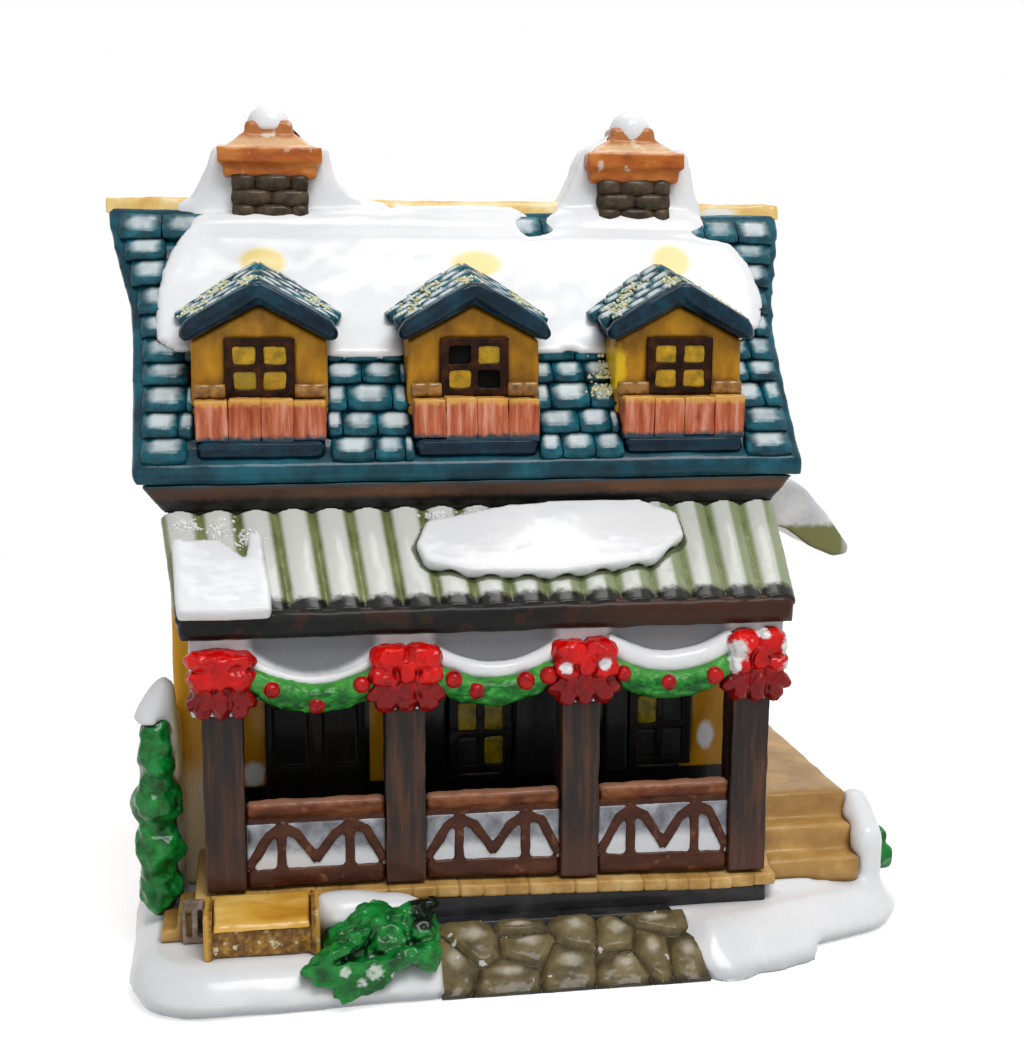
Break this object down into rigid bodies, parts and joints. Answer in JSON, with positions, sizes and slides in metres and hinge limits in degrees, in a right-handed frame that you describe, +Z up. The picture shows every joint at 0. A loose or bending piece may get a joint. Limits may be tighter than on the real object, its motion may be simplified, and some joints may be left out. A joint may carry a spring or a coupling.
{
  "type": "ceramic village house",
  "caption": "Glazed ceramic house with a snowy slate roof, dormers, chimneys and a trimmed front porch on a snow base, lit from below by a tea light.",
  "frame": {"origin": "the middle of the outer box, on the flat underside that stands on the table", "axes": "+Z up, -Y out of the porch side, +X to the viewer's right when facing the porch"},
  "size_m": [0.125, 0.098, 0.1292],
  "materials": {
    "snow_glaze": "gloss",
    "teal_slate": "gloss",
    "mustard_wall": "gloss",
    "dark_wood": "gloss",
    "rail_brown": "gloss",
    "terracotta": "gloss",
    "olive_roof": "gloss",
    "black_brown": "gloss",
    "tan_deck": "gloss",
    "bow_red": "gloss",
    "pine_green": "gloss",
    "gold_bench": "gloss",
    "ridge_yellow": "gloss",
    "stack_grey": "gloss",
    "cobble": "gloss",
    "window_yellow": "gloss",
    "cup_white": "gloss",
    "lens_clear": "translucent",
    "board_green": "matte",
    "cell_steel": "brushed",
    "contact_brass": "satin",
    "knob_black": "matte"
  },
  "bodies": {
    "house": {"base_ground": "snow_glaze", "snow_drifts": "snow_glaze", "bench_seat": "gold_bench", "bench_frame": "rail_brown", "front_shrub": "pine_green", "stone_ramp": "cobble", "porch_deck": "tan_deck", "left_steps": "tan_deck", "lattice_panel": "stack_grey", "left_hedge": "pine_green", "hedge_snow": "snow_glaze", "right_steps": "tan_deck", "right_bush": "pine_green", "house_walls": "mustard_wall", "doors": "dark_wood", "porch_windows": "window_yellow", "frieze": "snow_glaze", "porch_fascia": "black_brown", "porch_roof": "olive_roof", "porch_snow": "snow_glaze", "main_roof": "teal_slate", "ridge_roll": "ridge_yellow", "roof_snow": "snow_glaze", "cornice": "dark_wood", "post_1": "dark_wood", "post_2": "dark_wood", "post_3": "dark_wood", "post_4": "dark_wood", "railing_1": "rail_brown", "railing_2": "rail_brown", "railing_3": "rail_brown", "dormer_1": "mustard_wall", "dormer_2": "mustard_wall", "dormer_3": "mustard_wall", "dormer_roof_1": "teal_slate", "dormer_roof_2": "teal_slate", "dormer_roof_3": "teal_slate", "dormer_window_1": "window_yellow", "dormer_window_2": "window_yellow", "dormer_window_3": "window_yellow", "balcony_1": "terracotta", "balcony_2": "terracotta", "balcony_3": "terracotta", "chimney_1": "stack_grey", "chimney_2": "stack_grey", "chimney_cap_1": "terracotta", "chimney_cap_2": "terracotta", "chimney_snow": "snow_glaze", "side_awning": "olive_roof", "bows": "bow_red", "garlands": "pine_green"},
    "tea_light": {"light_case": "cup_white", "light_lens": "lens_clear", "light_led": "lens_clear", "light_board": "board_green", "coin_cell": "cell_steel", "cell_contact": "contact_brass"},
    "cell_door": {"battery_door": "cup_white"},
    "switch": {"switch_knob": "knob_black"}
  },
  "joints": [
    {"name": "tea_light_slide", "type": "slide", "parent": "house", "child": "tea_light", "axis": [0, 0, -1], "range_m": [0, 0.02]},
    {"name": "cell_door_slide", "type": "slide", "parent": "tea_light", "child": "cell_door", "axis": [0, 0, -1], "range_m": [0, 0.008]},
    {"name": "switch_slide", "type": "slide", "parent": "tea_light", "child": "switch", "axis": [1, 0, 0], "range_m": [0, 0.0025]}
  ]
}
